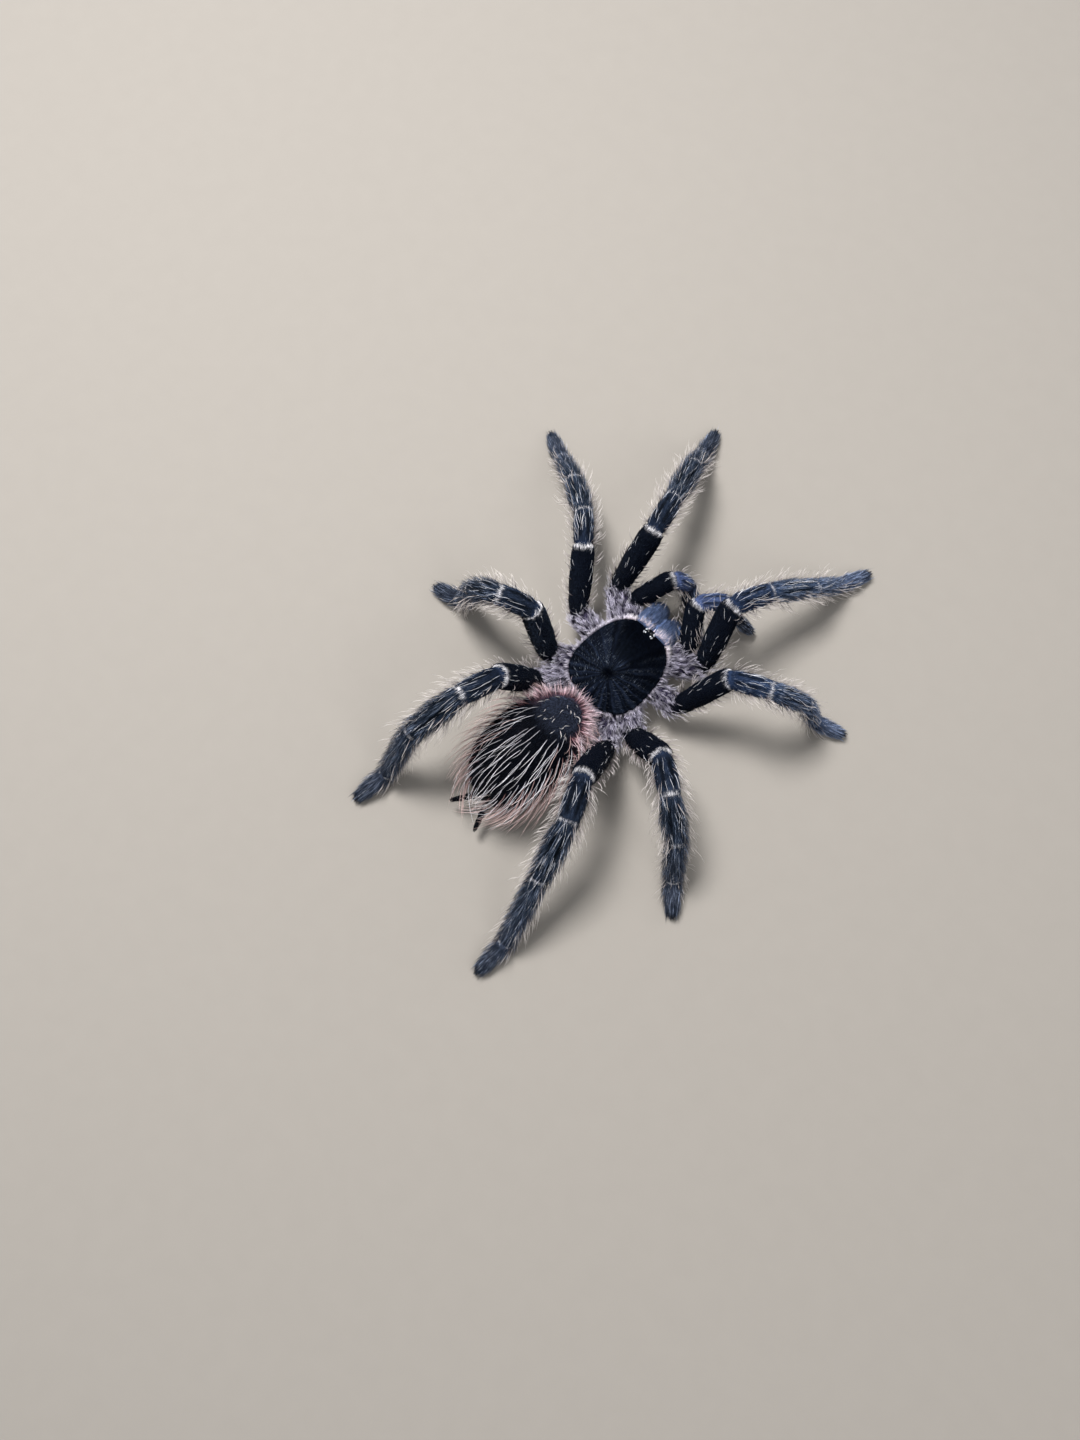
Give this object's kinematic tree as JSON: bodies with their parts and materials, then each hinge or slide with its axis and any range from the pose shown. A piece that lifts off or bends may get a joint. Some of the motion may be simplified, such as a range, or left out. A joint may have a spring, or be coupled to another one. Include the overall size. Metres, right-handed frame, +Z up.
{
  "type": "salmon pink bird-eating tarantula",
  "caption": "Life-size still tarantula standing on its leg tips: velvet black body and limbs, pale rings at the joints and long cream-pink hairs.",
  "frame": {"origin": "on the ground, below the middle of the whole spider's box", "axes": "+Z up, the spider faces -Y and its own left side is +X"},
  "size_m": [0.1178, 0.152, 0.0322],
  "materials": {
    "carapace_plate": "velvet black plate with a pale hairy rim",
    "limb_velvet": "matt black velvet",
    "limb_coat": "blue-black velvet with long cream hairs",
    "coxa_coat": "lavender grey fuzz",
    "jaw_velvet": "slate blue velvet",
    "abdomen_coat": "black with sweeping cream and salmon pink hairs",
    "underside": "dark velvet",
    "fang_horn": "polished black horn",
    "eye": "wet black"
  },
  "bodies": {
    "root": {"carapace": "carapace_plate", "sternum": "underside", "pedicel": "underside", "abdomen": "abdomen_coat", "jaw_left": "jaw_velvet", "fang_left": "fang_horn", "spinneret_left": "limb_velvet", "jaw_right": "jaw_velvet", "fang_right": "fang_horn", "spinneret_right": "limb_velvet", "eye_front_inner_left": "eye", "eye_front_inner_right": "eye", "eye_front_outer_left": "eye", "eye_front_outer_right": "eye", "eye_rear_inner_left": "eye", "eye_rear_inner_right": "eye", "eye_rear_outer_left": "eye", "eye_rear_outer_right": "eye", "palp_left_coxa": "coxa_coat", "palp_left_femur": "limb_velvet", "palp_left_shin": "limb_coat", "palp_left_foot": "limb_coat", "palp_right_coxa": "coxa_coat", "palp_right_femur": "limb_velvet", "palp_right_shin": "limb_coat", "palp_right_foot": "limb_coat", "leg1_left_coxa": "coxa_coat", "leg1_left_femur": "limb_velvet", "leg1_left_shin": "limb_coat", "leg1_left_foot": "limb_coat", "leg1_right_coxa": "coxa_coat", "leg1_right_femur": "limb_velvet", "leg1_right_shin": "limb_coat", "leg1_right_foot": "limb_coat", "leg2_left_coxa": "coxa_coat", "leg2_left_femur": "limb_velvet", "leg2_left_shin": "limb_coat", "leg2_left_foot": "limb_coat", "leg2_right_coxa": "coxa_coat", "leg2_right_femur": "limb_velvet", "leg2_right_shin": "limb_coat", "leg2_right_foot": "limb_coat", "leg3_left_coxa": "coxa_coat", "leg3_left_femur": "limb_velvet", "leg3_left_shin": "limb_coat", "leg3_left_foot": "limb_coat", "leg3_right_coxa": "coxa_coat", "leg3_right_femur": "limb_velvet", "leg3_right_shin": "limb_coat", "leg3_right_foot": "limb_coat", "leg4_left_coxa": "coxa_coat", "leg4_left_femur": "limb_velvet", "leg4_left_shin": "limb_coat", "leg4_left_foot": "limb_coat", "leg4_right_coxa": "coxa_coat", "leg4_right_femur": "limb_velvet", "leg4_right_shin": "limb_coat", "leg4_right_foot": "limb_coat"}
  },
  "joints": []
}
